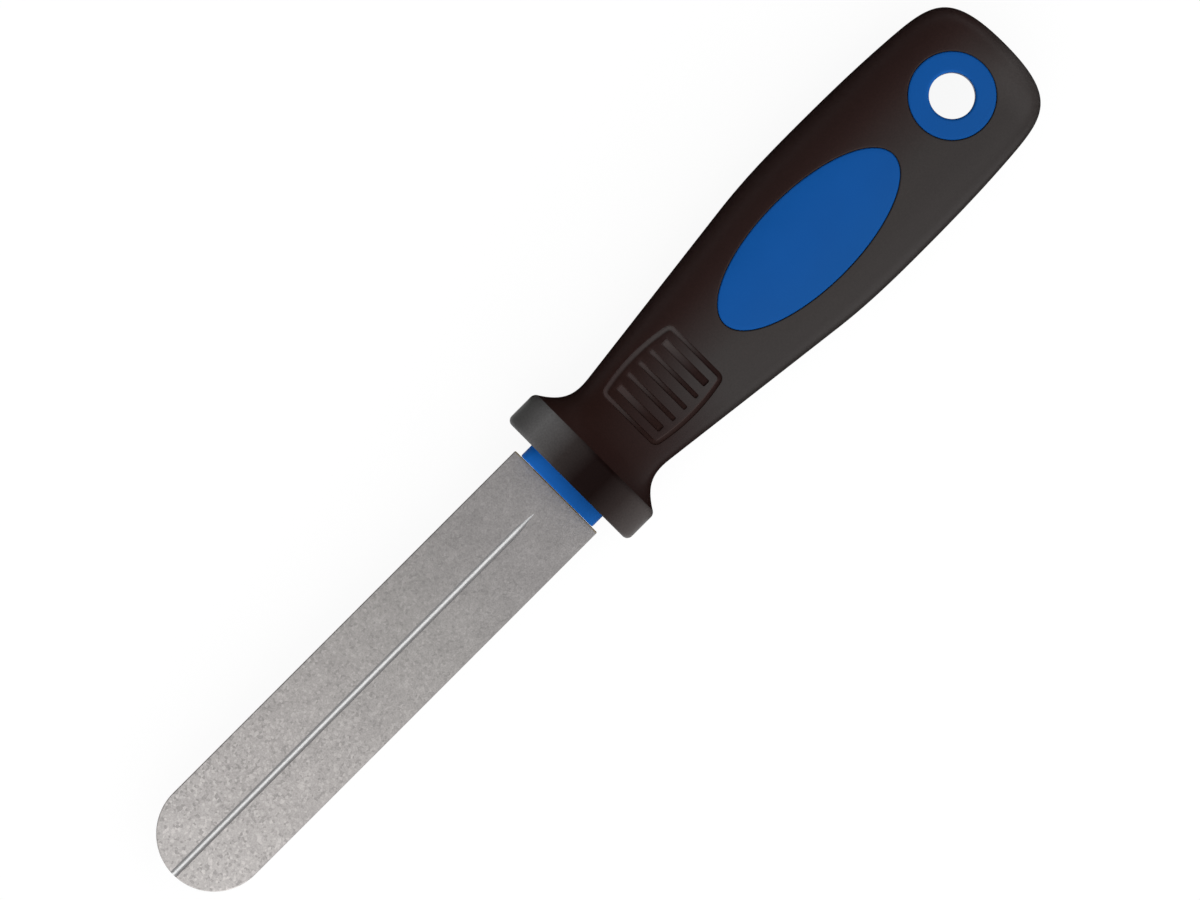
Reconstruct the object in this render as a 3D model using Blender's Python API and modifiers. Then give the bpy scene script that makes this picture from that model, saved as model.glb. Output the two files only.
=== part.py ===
# Diamond hook file for Blender 4.5, in metres, +Z up.
# A steel plate with diamond grit and a groove for points, its tang moulded into a blue core,
# and a black soft grip moulded over the core with windows that let the core show.
# The tool lies on its back, tip at -X, hang hole at +X, its grooved face up.
# In the meshes x = 0 is the front face of the guard and z = 0 is the middle of the thickness.

import math
from collections import namedtuple

import bmesh
import bpy
from mathutils import Vector
from mathutils.geometry import interpolate_bezier

MM = 0.001

# Steel plate
PLATE_LENGTH = 101.6 * MM
PLATE_WIDTH = 21.7 * MM
PLATE_THICKNESS = 3.0 * MM
PLATE_EDGE_RADIUS = 0.25 * MM
TANG_LENGTH = 60.0 * MM
TANG_WIDTH = 12.0 * MM
TANG_THICKNESS = 2.8 * MM
TANG_END_RADIUS = 4.0 * MM
LOCK_HOLE_DIAMETER = 5.0 * MM
LOCK_HOLE_FROM_TANG_END = 12.0 * MM
LOCK_HOLE_SPACING = 24.0 * MM

# Groove for points, open at the tip
GROOVE_WIDTH = 1.5 * MM
GROOVE_FLOOR_WIDTH = 0.4 * MM
GROOVE_DEPTH = 0.9 * MM
GROOVE_REAR_LAND = 6.0 * MM
GROOVE_RUN_OUT = 4.7 * MM
GROOVE_POINT_WIDTH = 0.06 * MM

# Blue core
COLLAR_LENGTH = 2.87 * MM
COLLAR_WIDTH = 18.85 * MM
COLLAR_THICKNESS = 9.0 * MM
COLLAR_SEAT_DEPTH = 8.5 * MM
CORE_FRONT_DEPTH = 3.0 * MM
OVAL_WIDTH = 18.3 * MM
PAD_TO_OVAL_LAND = 7.0 * MM
OVAL_TO_EYELET_LAND = 7.2 * MM
EYELET_DIAMETER = 16.8 * MM
HANG_HOLE_DIAMETER = 8.75 * MM
HANG_HOLE_FROM_END = 14.0 * MM

# Black grip: guard, neck, flank, belly and heel, each with its full width and thickness
GRIP_WALL = 2.75 * MM
GUARD_LENGTH = 7.3 * MM
GUARD_WIDTH = 31.9 * MM
GUARD_THICKNESS = 24.0 * MM
GUARD_FRONT_RADIUS = 1.1 * MM
GUARD_BACK_RADIUS = 0.6 * MM
NECK_POSITION = 16.5 * MM
NECK_WIDTH = 21.6 * MM
NECK_THICKNESS = 16.4 * MM
FLANK_END_FROM_END = 60.0 * MM
FLANK_END_WIDTH = 31.3 * MM
FLANK_END_THICKNESS = 23.0 * MM
BELLY_FROM_END = 40.0 * MM
BELLY_WIDTH = 33.3 * MM
BELLY_THICKNESS = 24.0 * MM
HEEL_FROM_END = 16.0 * MM
HEEL_WIDTH = 32.0 * MM
HEEL_THICKNESS = 19.0 * MM
HANDLE_LENGTH = 116.0 * MM

# Thumb pad: a barrel-shaped frame line around cross bars, sunk into both faces
PAD_POSITION = 25.3 * MM
PAD_LENGTH = 18.6 * MM
PAD_WIDTH = 16.5 * MM
PAD_SIDE_BULGE = 1.1 * MM
PAD_CORNER_RADIUS = 1.6 * MM
PAD_LINE_WIDTH = 0.9 * MM
PAD_DEPTH = 0.9 * MM
BAR_SPACING = 3.0 * MM
INNER_BAR_WIDTH = 1.0 * MM
OUTER_BAR_WIDTH = 1.55 * MM
INNER_BAR_LENGTH = 12.4 * MM
OUTER_BAR_LENGTH = 11.4 * MM

# Fit between moulded pieces, how far a cutter runs past what it cuts, and what counts as one point
CLEARANCE = 0.3 * MM
OVERRUN = 2.0 * MM
SAME_POINT = 0.001 * MM

# Shape of the curves and sections
SECTION_POWER = 2.15
PAD_FLOOR_POWER = 2.8
COLLAR_POWER = 7.0
HEEL_TAPER_IN_WIDTH = 0.069
HEEL_TAPER_IN_THICKNESS = 0.12
NECK_REACH = 0.375
FLANK_END_REACH = 6.0 * MM
BELLY_REACH = 8.0 * MM
HEEL_REACH = 8.2 * MM
BUTT_REACH = 0.71
BUTT_FULLNESS = 0.925

# Facets
SECTION_STEPS = 46
COLLAR_STEPS = 42
ROUND_STEPS = 60
LOCK_HOLE_STEPS = 24
TIP_STEPS = 30
TANG_CORNER_STEPS = 8
CORNER_STEPS = 3
NECK_STEPS = 7
FLANK_STEPS = 5
BELLY_STEPS = 5
BUTT_STEPS = 10
PAD_SIDE_STEPS = 4
PAD_CORNER_STEPS = 5

Knot = namedtuple("Knot", "point arrive leave")


def clear_scene():
    for thing in list(bpy.data.objects):
        bpy.data.objects.remove(thing, do_unlink=True)


def new_collection(name):
    collection = bpy.data.collections.new(name)
    bpy.context.scene.collection.children.link(collection)
    return collection


def new_datum(collection):
    # The guard's front face on the tool's axis, lifted so that the lowest face is at z = 0
    datum = bpy.data.objects.new("tool_datum", None)
    tip = -COLLAR_LENGTH - PLATE_LENGTH
    datum.location.x = -(tip + HANDLE_LENGTH) / 2
    datum.location.z = max(GUARD_THICKNESS, BELLY_THICKNESS) / 2
    collection.objects.link(datum)
    return datum


def add_object(name, mesh, collection, datum, x=0.0):
    thing = bpy.data.objects.new(name, mesh)
    thing.parent = datum
    thing.location.x = x
    collection.objects.link(thing)
    if collection.name == "cutters":
        thing.hide_render = True
        thing.display_type = "WIRE"
    return thing


def finish_mesh(bm, name):
    bmesh.ops.recalc_face_normals(bm, faces=bm.faces)
    mesh = bpy.data.meshes.new(name)
    bm.to_mesh(mesh)
    bm.free()
    return mesh


def cut(thing, tool, operation="DIFFERENCE"):
    boolean = thing.modifiers.new(f"{operation.lower()}_{tool.name}", "BOOLEAN")
    boolean.operation = operation
    boolean.solver = "EXACT"
    boolean.object = tool


def arc(centre_x, centre_y, radius, start, end, steps):
    # Points of a circular arc, angles in degrees
    points = []
    for step in range(steps + 1):
        angle = math.radians(start + (end - start) * step / steps)
        points.append((centre_x + radius * math.cos(angle), centre_y + radius * math.sin(angle)))
    return points


def mirrored(half):
    # Closes a half outline, given at +Y, with its mirror image at -Y
    return half + [(x, -y) for x, y in reversed(half) if y > 0.0]


def circle(centre_x, radius, steps):
    return arc(centre_x, 0.0, radius, 0.0, 360.0 - 360.0 / steps, steps - 1)


def flat_mesh(name, outlines, half_thickness):
    # Extruded plate: a filled 2D curve, where an outline inside another one is a hole
    curve = bpy.data.curves.new(name, "CURVE")
    curve.dimensions = "2D"
    curve.fill_mode = "BOTH"
    curve.extrude = half_thickness
    for outline in outlines:
        spline = curve.splines.new("POLY")
        spline.points.add(len(outline) - 1)
        for point, (x, y) in zip(spline.points, outline):
            point.co = (x, y, 0.0, 1.0)
        spline.use_cyclic_u = True
    holder = bpy.data.objects.new(name, curve)
    bpy.context.scene.collection.objects.link(holder)
    evaluated = holder.evaluated_get(bpy.context.evaluated_depsgraph_get())
    raw = bpy.data.meshes.new_from_object(evaluated)
    bpy.data.objects.remove(holder, do_unlink=True)
    bm = bmesh.new()
    bm.from_mesh(raw)
    bmesh.ops.remove_doubles(bm, verts=bm.verts, dist=SAME_POINT)
    return finish_mesh(bm, name)


def upright_mesh(name, half_length, half_width, half_height):
    # Elliptical cylinder standing along Z
    bm = bmesh.new()
    bmesh.ops.create_cone(
        bm, cap_ends=True, segments=ROUND_STEPS, radius1=1.0, radius2=1.0, depth=2.0
    )
    bmesh.ops.scale(bm, vec=(half_length, half_width, half_height), verts=bm.verts)
    return finish_mesh(bm, name)


def section_point(angle, half_width, half_thickness, power):
    # A superellipse, fuller than an ellipse as the power rises above 2
    across = math.cos(angle)
    up = math.sin(angle)
    y = math.copysign(abs(across) ** (2.0 / power), across) * half_width
    z = math.copysign(abs(up) ** (2.0 / power), up) * half_thickness
    return y, z


def loft_mesh(name, stations, power=SECTION_POWER, steps=SECTION_STEPS):
    # Body through sections along X; a station is x, half width and half thickness.
    # Steps are even but no multiple of 4, so a level facet runs along the top and the underside
    level = math.cos(math.pi / steps) ** (2.0 / power)
    bm = bmesh.new()
    rings = []
    for x, half_width, half_thickness in stations:
        ring = []
        for step in range(steps):
            angle = 2.0 * math.pi * step / steps
            y, z = section_point(angle, half_width, half_thickness / level, power)
            ring.append(bm.verts.new((x, y, z)))
        rings.append(ring)
    for ring, following in zip(rings, rings[1:]):
        for step in range(steps):
            after = (step + 1) % steps
            bm.faces.new((ring[step], following[step], following[after], ring[after]))
    bmesh.ops.remove_doubles(bm, verts=bm.verts, dist=SAME_POINT)
    open_edges = [edge for edge in bm.edges if edge.is_boundary]
    bmesh.ops.holes_fill(bm, edges=open_edges, sides=0)
    return finish_mesh(bm, name)


def between(start, end, steps):
    # Stations along a Bezier curve from one knot to the next, without the first
    handle_out = start.point + start.leave
    handle_in = end.point - end.arrive
    return interpolate_bezier(start.point, handle_out, handle_in, end.point, steps + 1)[1:]


def handle_knots(inset):
    # Neck, flank end, belly, heel and butt end of the grip, moved inwards by the inset
    shrink = Vector((0.0, inset, inset))
    flank_end_x = HANDLE_LENGTH - FLANK_END_FROM_END
    belly_x = HANDLE_LENGTH - BELLY_FROM_END
    heel_x = HANDLE_LENGTH - HEEL_FROM_END
    neck = Vector((NECK_POSITION, NECK_WIDTH / 2, NECK_THICKNESS / 2)) - shrink
    flank_end = Vector((flank_end_x, FLANK_END_WIDTH / 2, FLANK_END_THICKNESS / 2)) - shrink
    belly = Vector((belly_x, BELLY_WIDTH / 2, BELLY_THICKNESS / 2)) - shrink
    heel = Vector((heel_x, HEEL_WIDTH / 2, HEEL_THICKNESS / 2)) - shrink
    butt_end = Vector((HANDLE_LENGTH - inset, 0.0, 0.0))
    flank = (flank_end - neck).normalized()
    neck_arrive = flank * NECK_REACH * (NECK_POSITION - GUARD_LENGTH)
    flank_third = flank * (flank_end - neck).length / 3.0
    along = Vector((1.0, 0.0, 0.0))
    heel_slope = Vector((1.0, -HEEL_TAPER_IN_WIDTH, -HEEL_TAPER_IN_THICKNESS))
    heel_leave = heel_slope * BUTT_REACH * (butt_end.x - heel.x)
    butt_arrive = Vector((0.0, -heel.y, -heel.z)) * BUTT_FULLNESS
    return [
        Knot(neck, neck_arrive, flank_third),
        Knot(flank_end, flank_third, flank * FLANK_END_REACH),
        Knot(belly, along * BELLY_REACH, along * BELLY_REACH),
        Knot(heel, heel_slope * HEEL_REACH, heel_leave),
        Knot(butt_end, butt_arrive, Vector((0.0, 0.0, 0.0))),
    ]


def handle_stations(inset):
    # From the neck to the butt end
    knots = handle_knots(inset)
    stations = [knots[0].point]
    for start, end, steps in zip(knots, knots[1:], (FLANK_STEPS, BELLY_STEPS, BELLY_STEPS, BUTT_STEPS)):
        stations += between(start, end, steps)
    return stations


def guard_stations():
    # A plate across the handle with rounded edges, then the hollow sweep down to the neck
    half_width = GUARD_WIDTH / 2
    half_thickness = GUARD_THICKNESS / 2
    stations = []
    for x, y in arc(GUARD_FRONT_RADIUS, -GUARD_FRONT_RADIUS, GUARD_FRONT_RADIUS, 180.0, 90.0, CORNER_STEPS):
        stations.append(Vector((x, half_width + y, half_thickness + y)))
    back_centre = GUARD_LENGTH - GUARD_BACK_RADIUS
    for x, y in arc(back_centre, -GUARD_BACK_RADIUS, GUARD_BACK_RADIUS, 90.0, 0.0, CORNER_STEPS):
        stations.append(Vector((x, half_width + y, half_thickness + y)))
    back = stations[-1]
    neck = handle_knots(0.0)[0]
    drop = neck.point - back
    sweep = Vector((drop.x * NECK_REACH / 2, drop.y, drop.z))
    stations += between(Knot(back, None, sweep), neck, NECK_STEPS)
    return stations[:-1]


def build_outer_body(name, cutters, datum):
    # The whole outside of the handle, which the grip and the core's windows share
    mesh = loft_mesh(name, guard_stations() + handle_stations(0.0))
    return add_object(name, mesh, cutters, datum)


def collar_mesh(name, growth):
    # Rounded block through the guard that the plate's shoulder butts against
    front = -COLLAR_LENGTH + CLEARANCE - growth
    half_width = COLLAR_WIDTH / 2 + growth
    half_thickness = COLLAR_THICKNESS / 2 + growth
    stations = [
        (front, half_width, half_thickness),
        (COLLAR_SEAT_DEPTH + growth, half_width, half_thickness),
    ]
    return loft_mesh(name, stations, COLLAR_POWER, COLLAR_STEPS)


def core_body_mesh(name, growth):
    # Inner body of the core: the handle's own shape, one wall of the grip smaller
    stations = handle_stations(GRIP_WALL + CLEARANCE - growth)
    neck = stations[0]
    front = Vector((CORE_FRONT_DEPTH - growth, neck.y, neck.z))
    return loft_mesh(name, [front] + stations)


def window_object(name, x, half_length, half_width, cutters, datum):
    # Cutter through both faces of the handle
    half_height = max(GUARD_THICKNESS, BELLY_THICKNESS) / 2 + OVERRUN
    mesh = upright_mesh(name, half_length, half_width, half_height)
    return add_object(name, mesh, cutters, datum, x)


def build_windows(name, growth, cutters, datum):
    # The eyelet around the hang hole, and the oval pad between the eyelet and the thumb pad
    hole_x = HANDLE_LENGTH - HANG_HOLE_FROM_END
    oval_front = PAD_POSITION + PAD_LENGTH / 2 + PAD_TO_OVAL_LAND
    oval_rear = hole_x - EYELET_DIAMETER / 2 - OVAL_TO_EYELET_LAND
    half_length = (oval_rear - oval_front) / 2 + growth
    half_width = OVAL_WIDTH / 2 + growth
    oval_x = (oval_front + oval_rear) / 2
    oval = window_object(f"{name}_oval", oval_x, half_length, half_width, cutters, datum)
    eyelet_radius = EYELET_DIAMETER / 2 + growth
    eyelet = window_object(f"{name}_eyelet", hole_x, eyelet_radius, eyelet_radius, cutters, datum)
    return oval, eyelet


def tang_half_outline(start_x, growth):
    # From the shoulder at +Y to the rounded end on the axis side
    half_width = TANG_WIDTH / 2 + growth
    corner_x = TANG_LENGTH + growth - TANG_END_RADIUS
    corner_y = half_width - TANG_END_RADIUS
    corner = arc(corner_x, corner_y, TANG_END_RADIUS, 90.0, 0.0, TANG_CORNER_STEPS)
    return [(start_x, half_width)] + corner


def lock_hole_positions():
    rear = TANG_LENGTH - LOCK_HOLE_FROM_TANG_END
    return (rear - LOCK_HOLE_SPACING, rear)


def groove_mesh(name):
    # V with a narrow floor, level at first and then climbing out to a point in the face
    half_mouth = GROOVE_WIDTH / 2
    half_floor = GROOVE_FLOOR_WIDTH / 2
    flare = (half_mouth - half_floor) / GROOVE_DEPTH
    top = PLATE_THICKNESS / 2 + OVERRUN
    floor = PLATE_THICKNESS / 2 - GROOVE_DEPTH
    end_x = -GROOVE_REAR_LAND
    path = [
        (-PLATE_LENGTH - OVERRUN, floor, half_floor),
        (end_x - GROOVE_RUN_OUT, floor, half_floor),
        (end_x, PLATE_THICKNESS / 2, GROOVE_POINT_WIDTH / 2),
    ]
    bm = bmesh.new()
    rings = []
    for x, bottom, half_bottom in path:
        half_top = half_bottom + flare * (top - bottom)
        corners = [(half_bottom, bottom), (half_top, top), (-half_top, top), (-half_bottom, bottom)]
        rings.append([bm.verts.new((x, y, z)) for y, z in corners])
    for ring, following in zip(rings, rings[1:]):
        for corner in range(4):
            after = (corner + 1) % 4
            bm.faces.new((ring[corner], following[corner], following[after], ring[after]))
    bm.faces.new(rings[0])
    bm.faces.new(rings[-1])
    return finish_mesh(bm, name)


def tang_mesh(name, start_x, growth):
    # Flat tang with its two lock holes; grown by the clearance it is the pocket that holds it
    outlines = [mirrored(tang_half_outline(start_x, growth))]
    for x in lock_hole_positions():
        outlines.append(circle(x, LOCK_HOLE_DIAMETER / 2 - growth, LOCK_HOLE_STEPS))
    return flat_mesh(name, outlines, TANG_THICKNESS / 2 + growth)


def build_file_blade(parts, cutters, datum):
    # One steel stamping: the round-tipped plate, thicker by its grit, and the bare tang behind
    # its square shoulders; x = 0 is at the shoulders
    half_width = PLATE_WIDTH / 2
    tip = arc(half_width - PLATE_LENGTH, 0.0, half_width, 180.0, 90.0, TIP_STEPS // 2)
    outline = mirrored(tip + [(0.0, half_width)])
    mesh = flat_mesh("file_blade", [outline], PLATE_THICKNESS / 2)
    blade = add_object("file_blade", mesh, parts, datum, -COLLAR_LENGTH)
    edges = blade.modifiers.new("edge_radius", "BEVEL")
    edges.width = PLATE_EDGE_RADIUS
    edges.segments = 2
    edges.limit_method = "ANGLE"
    tang = add_object("tang", tang_mesh("tang", -COLLAR_LENGTH - OVERRUN, 0.0), cutters, datum)
    cut(blade, tang, "UNION")
    groove = add_object("groove_cutter", groove_mesh("groove_cutter"), cutters, datum, -COLLAR_LENGTH)
    cut(blade, groove)
    return blade


def build_handle_core(outer_body, parts, cutters, datum):
    # Collar, inner body, oval pads and eyelet in one moulding around the tang
    core = add_object("handle_core", core_body_mesh("handle_core", 0.0), parts, datum)
    cut(core, add_object("core_collar", collar_mesh("core_collar", 0.0), cutters, datum), "UNION")
    for window in build_windows("core", 0.0, cutters, datum):
        cut(window, outer_body, "INTERSECT")
        cut(core, window, "UNION")
    hole_x = HANDLE_LENGTH - HANG_HOLE_FROM_END
    hole_radius = HANG_HOLE_DIAMETER / 2
    cut(core, window_object("hang_hole", hole_x, hole_radius, hole_radius, cutters, datum))
    pocket_mesh = tang_mesh("tang_pocket", -COLLAR_LENGTH - OVERRUN, CLEARANCE)
    cut(core, add_object("tang_pocket", pocket_mesh, cutters, datum))
    return core


def pad_frame_outline(inset):
    # Barrel shape: straight ends, bulged sides and round corners
    half_length = PAD_LENGTH / 2 - inset
    half_width = PAD_WIDTH / 2 - inset
    radius = PAD_CORNER_RADIUS - inset
    corner_x = half_length - radius
    corner_y = half_width - PAD_SIDE_BULGE * (corner_x / half_length) ** 2 - radius
    side = []
    for step in range(PAD_SIDE_STEPS):
        x = corner_x * step / PAD_SIDE_STEPS
        side.append((x, half_width - PAD_SIDE_BULGE * (x / half_length) ** 2))
    side_slope = 2.0 * PAD_SIDE_BULGE * corner_x / half_length**2
    corner_start = 90.0 - math.degrees(math.atan(side_slope))
    quarter = side + arc(corner_x, corner_y, radius, corner_start, 0.0, PAD_CORNER_STEPS)
    half = quarter[::-1] + [(-x, y) for x, y in quarter[1:]]
    return mirrored(half)


def bar_outline(x, width, length):
    return [
        (x - width / 2, -length / 2),
        (x + width / 2, -length / 2),
        (x + width / 2, length / 2),
        (x - width / 2, length / 2),
    ]


def build_pad_cutter(cutters, datum):
    # Upright walls, and a floor that is flatter across than the grip, so it is deepest on the axis
    outlines = [pad_frame_outline(0.0), pad_frame_outline(PAD_LINE_WIDTH)]
    for place in (-1, 0, 1):
        outlines.append(bar_outline(place * BAR_SPACING, INNER_BAR_WIDTH, INNER_BAR_LENGTH))
    for place in (-2, 2):
        outlines.append(bar_outline(place * BAR_SPACING, OUTER_BAR_WIDTH, OUTER_BAR_LENGTH))
    mesh = flat_mesh("pad_cutter", outlines, BELLY_THICKNESS / 2 + OVERRUN)
    cutter = add_object("pad_cutter", mesh, cutters, datum, PAD_POSITION)
    floor_mesh = loft_mesh("pad_floor", handle_stations(PAD_DEPTH), PAD_FLOOR_POWER)
    cut(cutter, add_object("pad_floor", floor_mesh, cutters, datum))
    return cutter


def build_soft_grip(outer_body, parts, cutters, datum):
    # Guard, neck, belly and butt in one skin, hollow where the core sits
    grip = add_object("soft_grip", outer_body.data.copy(), parts, datum)
    space = add_object("core_space", core_body_mesh("core_space", CLEARANCE), cutters, datum)
    cut(grip, space)
    collar_space = collar_mesh("collar_space", CLEARANCE)
    cut(grip, add_object("collar_space", collar_space, cutters, datum))
    for window in build_windows("grip", CLEARANCE, cutters, datum):
        cut(grip, window)
    cut(grip, build_pad_cutter(cutters, datum))
    return grip


def new_material(name, colour, roughness, metallic):
    material = bpy.data.materials.new(name)
    material.use_nodes = True
    shader = material.node_tree.nodes["Principled BSDF"]
    shader.inputs["Base Color"].default_value = (*colour, 1.0)
    shader.inputs["Roughness"].default_value = roughness
    shader.inputs["Metallic"].default_value = metallic
    return material


def dress(thing, material, smooth_angle=30.0):
    thing.data.materials.clear()
    thing.data.materials.append(material)
    thing.data.shade_smooth()
    thing.data.set_sharp_from_angle(angle=math.radians(smooth_angle))


def main():
    clear_scene()
    parts = new_collection("diamond_hook_file")
    cutters = new_collection("cutters")
    datum = new_datum(parts)
    outer_body = build_outer_body("outer_body", cutters, datum)
    blade = build_file_blade(parts, cutters, datum)
    core = build_handle_core(outer_body, parts, cutters, datum)
    grip = build_soft_grip(outer_body, parts, cutters, datum)
    dress(blade, new_material("diamond_steel", (0.36, 0.35, 0.34), 0.6, 0.7))
    dress(core, new_material("blue_polypropylene", (0.009, 0.082, 0.30), 0.4, 0.0))
    dress(grip, new_material("black_soft_rubber", (0.035, 0.03, 0.028), 0.75, 0.0))


main()
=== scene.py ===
import math

import bmesh
import bpy
import numpy as np
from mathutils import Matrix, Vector
from mathutils.geometry import delaunay_2d_cdt, interpolate_bezier


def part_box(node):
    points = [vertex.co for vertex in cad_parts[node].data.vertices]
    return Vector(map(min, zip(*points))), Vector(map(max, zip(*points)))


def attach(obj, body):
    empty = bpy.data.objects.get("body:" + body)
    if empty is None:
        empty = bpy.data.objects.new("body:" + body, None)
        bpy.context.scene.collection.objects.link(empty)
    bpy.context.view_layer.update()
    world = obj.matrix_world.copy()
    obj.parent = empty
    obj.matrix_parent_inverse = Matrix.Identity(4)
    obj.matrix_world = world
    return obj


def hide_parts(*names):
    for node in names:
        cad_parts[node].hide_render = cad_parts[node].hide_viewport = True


# A diamond hook file: a gritted steel plate with a groove, a blue core and a black soft grip.
# Shapes are worked out in millimetres, with x = 0 at the guard's front, the tip at -x and
# z = 0 in the middle of the thickness, and are put in place in metres at the very end.

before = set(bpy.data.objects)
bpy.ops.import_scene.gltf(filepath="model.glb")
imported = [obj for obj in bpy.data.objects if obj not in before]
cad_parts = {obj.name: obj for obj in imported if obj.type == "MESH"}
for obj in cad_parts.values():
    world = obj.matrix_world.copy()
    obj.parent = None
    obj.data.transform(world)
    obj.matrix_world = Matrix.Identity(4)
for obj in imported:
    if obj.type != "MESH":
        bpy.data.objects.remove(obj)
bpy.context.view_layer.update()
bladeLow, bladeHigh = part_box("file_blade")
gripLow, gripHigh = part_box("soft_grip")

mm = 0.001
guardX = gripLow.x
middleZ = (gripLow.z + gripHigh.z) / 2
handleLength = (gripHigh.x - gripLow.x) / mm
bellyWidth = (gripHigh.y - gripLow.y) / mm
bellyThickness = (gripHigh.z - gripLow.z) / mm
plateWidth = (bladeHigh.y - bladeLow.y) / mm
plateThickness = (bladeHigh.z - bladeLow.z) / mm
tipX = (bladeLow.x - guardX) / mm


# Meshes

weldDistance = 0.002                 # points nearer than this are one
sharpAngle = 40                      # degrees that an edge turns before it shows as a crease
rowClearance = 0.55                  # share of the spacing that rows keep from an outline, and
gridClearance = 0.6                  # that a filling keeps from its rim, so that no slivers come


def newShape():
    return {"points": [], "faces": [], "looks": []}


def markFaces(shape, look):
    # Gives every face that has none yet the number of its material
    shape["looks"] += [look] * (len(shape["faces"]) - len(shape["looks"]))


def addPoints(shape, points):
    start = len(shape["points"])
    shape["points"] += [tuple(float(value) for value in point) for point in points]
    return list(range(start, start + len(points)))


def addStrip(shape, first, second, closed=True):
    count = len(first)
    for step in range(count if closed else count - 1):
        after = (step + 1) % count
        shape["faces"].append((first[step], first[after], second[after], second[step]))


def addStrips(shape, rings, closed=True):
    for first, second in zip(rings, rings[1:]):
        addStrip(shape, first, second, closed)


def makePiece(name, shape, halved=False):
    # A halved shape is the upper half only: its mirror image is welded on below
    bm = bmesh.new()
    markFaces(shape, 0)
    for side in (1, -1) if halved else (1,):
        made = [bm.verts.new((x, y, z * side)) for x, y, z in shape["points"]]
        for face, look in zip(shape["faces"], shape["looks"]):
            corners = [made[index] for index in face]
            bm.faces.new(corners if side == 1 else corners[::-1]).material_index = look
    bmesh.ops.remove_doubles(bm, verts=bm.verts, dist=weldDistance)
    loose = [vert for vert in bm.verts if not vert.link_faces]
    bmesh.ops.delete(bm, geom=loose, context="VERTS")
    bmesh.ops.recalc_face_normals(bm, faces=bm.faces)
    openEdges = sum(1 for edge in bm.edges if not edge.is_manifold)
    for vert in bm.verts:
        vert.co = Vector((guardX, 0.0, middleZ)) + vert.co * mm
    mesh = bpy.data.meshes.new(name)
    bm.to_mesh(mesh)
    bm.free()
    mesh.shade_smooth()
    mesh.set_sharp_from_angle(angle=math.radians(sharpAngle))
    piece = bpy.data.objects.new(name, mesh)
    bpy.context.scene.collection.objects.link(piece)
    print(f"{name}: {len(mesh.polygons)} faces, {openEdges} open edges")
    return piece


def insideLoop(points, loop):
    # Even-odd test of many flat points against one closed outline
    x, y = points[:, 0][:, None], points[:, 1][:, None]
    x1, y1 = loop[:, 0], loop[:, 1]
    x2, y2 = np.roll(x1, -1), np.roll(y1, -1)
    spans = (y1 > y) != (y2 > y)
    with np.errstate(divide="ignore", invalid="ignore"):
        crossing = x1 + (y - y1) * (x2 - x1) / (y2 - y1)
    return np.count_nonzero(spans & (x < crossing), axis=1) % 2 == 1


def distanceTo(points, others):
    nearest = np.full(len(points), np.inf)
    for other in others:
        nearest = np.minimum(nearest, np.hypot(*(points - other).T))
    return nearest


def triangulate(flatPoints, edges, staysAt):
    # Constrained Delaunay triangles; staysAt says which of their centres are on the surface
    vertices = [Vector((float(u), float(v))) for u, v in flatPoints]
    wholeHull, sameSpot = 0, 1e-5
    made = delaunay_2d_cdt(vertices, edges, [], wholeHull, sameSpot)
    triangles, origins = made[2], made[3]
    corners = np.array([[origins[index][0] for index in triangle] for triangle in triangles])
    centres = np.asarray(flatPoints)[corners].mean(axis=1)
    return corners[staysAt(centres)].tolist()


# Profile and sections of the handle

handleShape = {
    "guardLength": 7.42,             # to where the sweep leaves the back edge
    "guardWidth": 31.9,
    "guardFrontRadius": 1.25,
    "guardBackRadius": 1.4,
    "guardBackTurn": 58.0,           # degrees of the back edge before the sweep leaves it
    "guardBackSteps": 8,
    "sweepReach": 2.6,               # each reach is how far a curve's control point is from its knot
    "neckX": 16.5,
    "neckWidth": 21.6,
    "neckThickness": 16.4,
    "flankEndFromEnd": 60.0,
    "flankEndWidth": 31.3,
    "flankEndThickness": 23.0,
    "bellyFromEnd": 40.0,
    "heelFromEnd": 16.0,
    "heelWidth": 32.0,
    "heelThickness": 19.0,
    "wall": 2.75,                    # thickness of the soft grip over the core
    "sectionPower": 2.15,            # 2 would be a plain ellipse
    "heelTaperInWidth": 0.069,       # mm lost to a mm along
    "heelTaperInThickness": 0.12,
    "neckReach": 4.25,
    "flankEndReach": 6.0,
    "bellyReach": 8.0,
    "heelReach": 8.2,
    "buttReach": 0.71,               # share of the way from heel to butt
    "buttFullness": 0.925,           # share of the heel's half sizes
    "curveSteps": 90,
    "sectionPoints": 361,            # one every half degree
}


def curveOn(start, end, steps):
    # Points from one knot to the next; a knot is its point, its arrival and its leave
    points = interpolate_bezier(start[0], start[0] + start[2], end[0] - end[1], end[0], steps + 1)
    return list(points)[1:]


def arc(centreX, centreY, radius, start, end, steps):
    angles = np.radians(np.linspace(start, end, steps + 1))
    return [(centreX + radius * math.cos(a), centreY + radius * math.sin(a)) for a in angles]


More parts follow.
